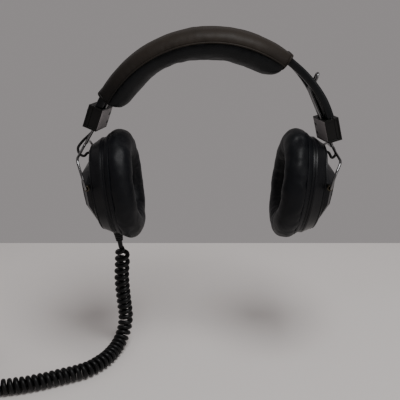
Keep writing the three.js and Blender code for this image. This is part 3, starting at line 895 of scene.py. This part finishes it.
# %% The cover over the band
cover_half = [(113.7, 0), (113.6, 7), (113.2, 12), (112.0, 16.6), (109.4, 20.2), (106.2, 22.3),
              (103.2, 23.0), (102.9, 21.7), (105.4, 21.3), (108.4, 19.3), (110.8, 16),
              (112.2, 13), (112.3, 6), (112.3, 0)]
cover_contour = both_halves([*smooth_line(cover_half[:7], 1.5), *cover_half[7:]])
pad_cover = skin("pad_cover", [
    [pad_point(r, y, t) for r, y in cover_contour] for t in pad_stations], top_lit_leathercloth)


def cover_crease(point):
    radius, angle = arc_place(point)
    if radius < 112.5 and abs(point[1]) < 13:
        return 0.0
    pucker = 0.5 * max(0.0, 1 - abs(radius - SEAM_RADIUS) / 6) * ripple((angle * 1.9, 3, 1), 2.4)
    return pucker + 0.3 * ripple(point, 16, 2.0) + 0.15 * ripple(point, 5, 6.0)


wrinkled(pad_cover, 1, cover_crease)
belongs(pad_cover, "head_pad", "pad_leathercloth")
print("pad cover faces:", len(pad_cover.data.polygons))

# %% The welt in the seam and the hems at the ends
for end, word in ((-1, "front"), (1, "rear")):
    seam_line = np.array([pad_point(SEAM_RADIUS, end * (SEAM_SIDE + 0.35), t)
                          for t in np.linspace(0.004, 0.996, 110)])
    welt = skin("pad_welt_" + word, tube_rings(seam_line, 0.75, 10), top_lit_leathercloth)
    belongs(welt, "head_pad", "pad_leathercloth")

for t, word in ((0.003, "right"), (0.997, "left")):
    hem_contour = [(98.2, 0), (98.6, 9), (101, 15.5), (105, 18.6), (109.5, 18.6), (112.8, 14.5),
                   (113.4, 7)]
    hem_points = [pad_point(r, y, t) for r, y in both_halves(hem_contour + [(113.4, 0.01)])]
    hem_loop = smooth_line([*hem_points, hem_points[0], hem_points[1]], 1.5)[:-4]
    hem = skin("pad_hem_" + word, tube_rings(hem_loop, 1.1, 10), top_lit_leathercloth, joined=True)
    belongs(hem, "head_pad", "pad_leathercloth")
print("welts and hems are on the pad")

# %% [markdown]
# ## The blocks
# Each block is two moulded halves screwed together round the end of the spring, with a way
# through for the yoke's wires. A box with cuts would do, but a real moulding has a shallow
# panel, a grip of grooves and soft edges, so those are cut as well and a bevel rounds all.

# %% The blocks' own axes and cutting boxes
THICK, DEEP, TALL, SPLIT = 12.8, 28.0, 20.6, 2.0
MARGIN, PANEL_DEEP, NOTCH_HALF = 1.8, 0.6, 3.0


def block_axes(side):
    """The block's matrix in metres: outwards, across and along the band."""
    angle = math.radians(mirrored(BLOCK_ANGLE, side["out"]))
    outwards = Vector((math.cos(angle), 0, math.sin(angle)))
    across = Vector((0, side["out"], 0))
    upright = outwards.cross(across)
    axes = Matrix((outwards, across, upright)).transposed().to_4x4()
    axes.translation = Vector(on_arc(BLOCK_RADIUS, mirrored(BLOCK_ANGLE, side["out"])) * MM)
    return axes @ Matrix.Rotation(BLOCK_TURN * side["out"], 4, "Z")


def box(name, low, high, axes, look=block_dark, corner=0.0):
    """A box between two corners in mm, in the given axes."""
    shape = bmesh.new()
    bmesh.ops.create_cube(shape, size=1)
    size, centre = np.subtract(high, low) * MM, np.add(high, low) / 2 * MM
    fit = Matrix.Translation(centre) @ Matrix.Diagonal((*size, 1))
    bmesh.ops.transform(shape, verts=shape.verts, matrix=fit)
    if corner:
        bmesh.ops.bevel(shape, geom=shape.edges[:], offset=corner * MM, segments=3,
                        affect="EDGES", profile=0.5)
    return tidy(from_bmesh(name, shape, axes), look)


print("block:", THICK, "x", DEEP, "x", TALL, "mm")

# %% Both blocks
def stem_axes(side, along):
    """Axes at a place on the stems; the first one points outwards."""
    turn = Matrix.Rotation(-math.radians(mirrored(STEM_ANGLE, side["out"])), 4, "Y")
    return Matrix.Translation(Vector(on_stem(side, along) * MM)) @ turn


def ways(side):
    """Cutters for the stems, for the cable's swing just under the block and the spring."""
    ends = sorted((mirrored(13.1, side["out"]), mirrored(27.5, side["out"])))
    spring_room = rounded_section(SPRING_IN - 0.35, SPRING_OUT + 0.35, SPRING_WIDE + 0.7, 0.1, 2)
    return [
        box("stem_way", (-1.7, -5.8, -40), (1.7, 5.8, 40), stem_axes(side, -22)),
        box("cable_way", (-1.7, -2.2, -5), (3.6, 2.2, 5), stem_axes(side, -29.5)),
        along_band("spring_way", spring_room, *ends, 12, block_dark)]


for name, side in SIDES.items():
    axes, half, wide, tall = block_axes(side), THICK / 2, DEEP / 2, TALL / 2
    front = -side["out"]
    face = front * wide

    def slab(word, low, high, look=block_dark, corner=0.0):
        return box(word, low, high, axes, look, corner)

    inner = slab("block_body_" + name, (-half, -wide, -tall), (SPLIT, wide, tall))
    panel = slab("panel", (-half + 1.6, face - PANEL_DEEP, -tall + MARGIN),
                 (SPLIT + 4, face + PANEL_DEEP, tall - MARGIN))
    grooves = [
        slab("groove", (-half - 1, y - 0.5, -tall + 4), (-half + 0.5, y + 0.5, tall - 4))
        for y in (front * 0.5 - 5, front * 0.5 - 2.5, front * 0.5, front * 0.5 + 2.5)]
    moulding(inner, [*ways(side), panel, *grooves], 0.45)
    belongs(inner, "headband", "block_plastic", f"{name}_block_body")

    outer = slab("block_cover_" + name, (SPLIT + 0.3, -wide, -tall), (half, wide, tall))
    panel = slab("panel", (SPLIT - 2, face - PANEL_DEEP, -tall + MARGIN),
                 (half - 1.2, face + PANEL_DEEP, tall - MARGIN))
    badge = slab("badge", (half - 0.5, -wide + 3, -tall + 2.4), (half + 1, wide - 3, 0.6),
                 corner=0.25)
    moulding(outer, [*ways(side), panel, badge], 0.6)
    belongs(outer, "headband", "block_plastic", f"{name}_block_cover")

    # Painted light: the liner's pale grey stands in, in part, for light bounced onto the block's
    # inner face.
    liner = slab("block_liner_" + name, (-half - 0.35, -wide + 1.0, -tall + 1.0),
                 (-half + 0.3, wide - 1.0, tall - 1.0), block_grey)
    rear = -front * (wide - 3.2)
    notches = [
        slab("notch", (-half - 1, rear - NOTCH_HALF, z - 1.4),
             (-half + 1, rear + NOTCH_HALF, z + 1.4), block_grey)
        for z in (-4.5, 3.5)]
    moulding(liner, notches, 0.2, 2)
    belongs(liner, "headband", "block_plastic")
print("blocks are on both ends of the band")

# %% The blocks' screws
screw_profile = [(0, 8.0), (1.5, 8.0), (2.3, 7.6), (2.6, 7.1), (2.6, 6.7), (1.25, 6.7),
                 (1.25, -4), (0, -4)]
for name, side in SIDES.items():
    for end, word in ((-1, "front"), (1, "rear")):
        seat = seat_in(block_axes(side), 0, end * 8.5, 4, math.pi / 2)
        screw = turned(f"block_screw_{name}_{word}", screw_profile, seat, screw_steel, 32, 1,
                       False, 0)
        bits = [box("bit", (-x, -y, 7.2), (x, y, 9), seat, screw_steel)
                for x, y in ((1.7, 0.28), (0.28, 1.7))]
        moulding(screw, bits, 0.1, 2)
        belongs(screw, "headband", "screw_steel", f"{name}_block_screw_{word}")
print("four screws")

# %% [markdown]
# ## The yokes and the cable loops
# One bent wire makes each yoke: from the front pivot over a knee, up through the block as
# one of two stems, across the top and down again. A thin cable comes out between the stems
# and makes a loose loop into the cup.

# %% Bending the yokes
PIVOT_OUT, PIVOT_UP, WIRE, ARM_HALF, PIN_HALF = 15.5, 11.0, 1.15, 40.8, 35.4
for name, side in SIDES.items():
    out = side["out"]
    pivot = in_cup(side, PIVOT_OUT, PIVOT_UP)

    def half_yoke(end):
        y = end * STEMS_APART / 2
        corners = [
            on_stem(side, side["stem_top"], y), on_stem(side, side["stem_end"], y),
            (side["knee"][0], end * 33, side["knee"][1]),
            (pivot[0] + out * 2.6, end * ARM_HALF, pivot[2] + 12),
            (pivot[0], end * ARM_HALF, pivot[2]), (pivot[0], end * PIN_HALF, pivot[2])]
        return [corners[0] + (x, 0, z) for x, z in side["hook"]] + corners

    yoke_line = rounded_line([*reversed(half_yoke(-1)), *half_yoke(1)], 5, 0.9)
    yoke = skin("yoke_" + name, tube_rings(yoke_line, WIRE, 14), chrome_wire)
    belongs(yoke, f"{name}_yoke", "chrome_wire", f"{name}_yoke_wire")
print("yoke wire:", len(yoke_line), "rings")

# %% Hanging the cable loops
for name, side in SIDES.items():
    loop_points = [on_stem(side, s) for s in (-8, -20, -30, -36)]
    loop_points += [(x, 0, z) for x, z in side["loop"]]
    loop_points += [in_cup(side, 17, GROMMET), in_cup(side, 13.3, GROMMET)]
    loop_line = smooth_line(loop_points, 0.8)
    loop = skin("loop_" + name, tube_rings(loop_line, CABLE, 12), cable_rubber)
    belongs(loop, None, "cable_rubber", f"{name}_cable_loop")
    leaves = on_stem(side, -34)
    arrives = in_cup(side, 15, GROMMET)
    leaves[0] * MM
    leaves[0] * MM
    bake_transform(loop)
    tuple(loop_line[0] * MM)
    [tuple(p * MM) for p in loop_line]

# %% [markdown]
# ## The ear cups
# Everything in a cup is turned and then pressed a little narrower front to back. The
# cushion is a fat ring of foam in thin vinyl, filled like the pad and creased where the
# vinyl is gathered. The shell's back is a faceted dome, so it is the convex hull of a few
# corners, hollowed and bevelled.

# %% The ear cushions
cushion_section = smooth_line([
    (27, -4.2), (25.4, -8), (25, -14), (27, -20.2), (32, -24.0), (39, -24.7), (45.5, -22.9),
    (49.8, -18.3), (51.2, -12.5), (49.6, -7.2), (45.8, -4.0)], 1.7)


def cushion_ring(side, count=84):
    rings = []
    for a in np.linspace(0, 2 * np.pi, count, endpoint=False):
        rings.append([in_cup(side, h, r * math.cos(a), OVAL * r * math.sin(a))
                      for r, h in [*cushion_section, (36, -3.6)]])
    return rings


for name, side in SIDES.items():
    axes, back = cup_axes(side), cup_axes(side).inverted()

    def in_own(point):
        """Out from the cushion's face, round the ring and away from its middle, in mm."""
        x, y, z = np.array(back @ (Vector(point) * MM)) / MM
        return z, math.atan2(x / OVAL, y), math.hypot(x / OVAL, y)

    def base_held(point):
        return 1.0 if in_own(point)[0] > -6.2 else 0.0

    def gathered(point):
        height, turn, radius = in_own(point)
        if height > -4.4:
            return 0.0
        loose = max(0.0, 1 - abs(radius - 29) / 8)
        pulled = max(0.0, 1 - abs(height + 7) / 5) * (radius > 40)
        folds = ripple((turn * 9, height / 16, side["out"] * 3), 1.0)
        broad = ripple((turn * 3.2, height / 9, 5 + side["out"]), 1.0)
        dent_turn, dent_height = side["dent"]
        dent = math.exp(-((turn - dent_turn) * 7) ** 2 - ((height - dent_height) / 3.8) ** 2)
        return (0.9 * loose * folds + 0.5 * pulled * folds + 0.8 * broad
                + 0.3 * ripple(point, 6, 3.0) - 2.6 * dent * (radius > 36))

    cushion = skin("cushion_" + name, cushion_ring(side), cushion_vinyl, joined=True)
    settle_soft(cushion, base_held, 3.4, 1.4, 60.0, 1.0)
    wrinkled(cushion, 1, gathered)
    belongs(cushion, f"{name}_cup", "cushion_vinyl", f"{name}_ear_cushion")
    skirt = turned("cushion_skirt_" + name, [
        (44, -1.5), (45.2, -1.5), (46.6, -3.2), (47.9, -4.6), (48.3, -5.8), (47.2, -6.6),
        (44, -5)], axes, cushion_vinyl, 112, OVAL, True, 0.2)
    belongs(skirt, f"{name}_cup", "cushion_vinyl")
print("cushion faces:", len(cushion.data.polygons))

# %% The turned pieces of each cup
cup_pieces = {
    "cushion_ring": (cup_plastic, "cup_plastic", OVAL, 96, 0.2, [
        (27, -1.7), (43.5, -1.7), (43.5, -3.2), (27, -3.2)]),
    "damping_foam": (foam, "foam", OVAL, 64, 0.5, [(0, -1.7), (24, -1.7), (24, -4.6), (0, -4.6)]),
    "baffle_plate": (cup_plastic, "cup_plastic", OVAL, 96, 0.2, [
        (20.5, 0.8), (41.3, 0.8), (41.3, -1.2), (20.5, -1.2)]),
    "driver_basket": (screw_steel, "driver_steel", 1, 48, 0.15, [
        (9, 8), (13, 8), (17, 2.6), (21.5, 2.3), (21.5, 1.1), (18, 1.1), (18, -0.9),
        (16, -0.9), (16, 1.4), (12, 6.8), (9, 6.8)]),
    "driver_magnet": (screw_steel, "driver_steel", 1, 48, 0.3, [
        (0, 10.5), (8.4, 10.5), (8.4, 5.6), (0, 5.6)]),
    "driver_cone": (cone_paper, "cone_paper", 1, 48, 0, [
        (0, 4.5), (3, 4.45), (6, 4.2), (15, 0.4), (15, -0.2), (6, 3.2), (0, 3.4)]),
    "cup_housing": (cup_plastic, "cup_plastic", OVAL, 112, 0.2, [
        (38.2, 10.9), (40.2, 10.9), (40.7, 10.2), (41.4, 8.7), (42.9, 6), (44.2, 3.8), (45, 2.6),
        (45, 1.2), (44.5, 0.9), (44.5, 0.3), (45, 0), (45, -1.3), (41.9, -1.3), (41.9, 3.2)]),
}
for name, side in SIDES.items():
    for part, (look, slot, oval, steps, edge, profile) in cup_pieces.items():
        closed_ring = profile[0][0] > 0
        piece = turned(f"{part}_{name}", profile, cup_axes(side), look, steps, oval,
                       closed_ring, edge)
        belongs(piece, f"{name}_cup", slot, f"{name}_{part}")
print("turned cup pieces:", 2 * len(cup_pieces))

# %% The shell with its faceted back
def hull(name, points, axes, look):
    shape = bmesh.new()
    for x, y, z in points:
        shape.verts.new((x * MM, y * MM, z * MM))
    found = bmesh.ops.convex_hull(shape, input=shape.verts)
    loose = [g for g in found["geom_interior"] if isinstance(g, bmesh.types.BMVert)]
    bmesh.ops.delete(shape, geom=loose, context="VERTS")
    bmesh.ops.dissolve_limit(shape, angle_limit=math.radians(1.5), verts=shape.verts,
                             edges=shape.edges)
    return tidy(from_bmesh(name, shape, axes), look, 20)


def dome(base, flat_size, low, high):
    def ring(size, height, corners):
        return [(s * x * size, z * size, height) for x, z in corners for s in (-1, 1)]

    rim = [(12, -38.5), (26, -28), (33.5, -8), (33.5, 14), (26, 24.5), (12, 28)]
    shoulder = [(33.5, -6), (33.5, 13)]
    face = [(11, -18.8), (20, -11), (22.5, 0), (22.5, 13), (18, 19.8)]
    return [*ring(base, low, rim), *ring(base, low + (high - low) * 0.55, shoulder),
            *ring(flat_size, high, face)]


for name, side in SIDES.items():
    axes = cup_axes(side)
    shell = hull("cup_shell_" + name, dome(1, 1, 11.4, 21.5), axes, cup_plastic)
    flange = turned("flange", [(0, 12.8), (39, 12.8), (40, 12.2), (40, 11.2), (0, 11.2)], axes,
                    cup_plastic, 96, OVAL, False, 0)
    carve(shell, flange, operation="UNION")
    hollow = hull("hollow", dome(0.93, 0.9, 9.4, 19.7), axes, cup_plastic)
    moulding(shell, [hollow], 0.9, 3, 25, 22)
    belongs(shell, f"{name}_cup", "cup_plastic", f"{name}_cup_shell")

    outline = [(10, -17.2), (18.4, -10), (20.6, 0), (20.6, 12), (16.6, 18.2)]
    plate = hull("cup_plate_" + name, [(s * x, z, h) for x, z in outline for s in (-1, 1)
                                       for h in (21.8, 22.8)], axes, plate_plastic)
    soften(plate, 0.3, 2)
    belongs(plate, f"{name}_cup", "cup_plate", f"{name}_cup_plate")
print("shell faces:", len(shell.data.polygons))

# %% Bushes, grommets and the cord's relief
for name, side in SIDES.items():
    axes = cup_axes(side)
    for end, word in ((-1, "front"), (1, "rear")):
        sense = end * side["out"]
        seat = seat_in(axes, sense * 33.8, PIVOT_UP, PIVOT_OUT, sense * math.pi / 2)
        bush = turned(f"pivot_bush_{name}_{word}", [(1.5, 4), (2.4, 4), (2.4, 0), (1.5, 0)],
                      seat, brass, 32, edge=0.2)
        belongs(bush, f"{name}_cup", "bush_brass", f"{name}_pivot_bush_{word}")
    ferrule_profile = [(1.6, 15.2), (2.5, 15.2), (2.9, 14), (2.9, 13.1), (1.6, 13.1)]
    ferrule = turned("grommet_" + name, ferrule_profile, seat_in(axes, 0, GROMMET, 0),
                     cable_rubber, 32)
    belongs(ferrule, f"{name}_cup", "cable_rubber", f"{name}_cable_grommet")

relief_profile = [(2.5, 0), (4.6, 0), (4.6, 2)]
for rib in range(4):
    top, wide = 2.4 + rib * 2.05, 4.3 - rib * 0.28
    relief_profile += [(wide - 0.5, top), (wide - 0.5, top + 0.5),
                       (wide, top + 0.7), (wide - 0.1, top + 1.7)]
relief_profile += [(3.0, 10.5), (2.5, 10.5)]
cord_relief = turned("cord_relief", relief_profile[::-1],
                     seat_in(cup_axes(left), 0, -45.4, 2, math.pi / 2, "X"), cable_rubber, 40,
                     edge=0.12)
belongs(cord_relief, "left_cup", "cable_rubber", "left_cord_relief")
print("bushes, grommets and relief are in")
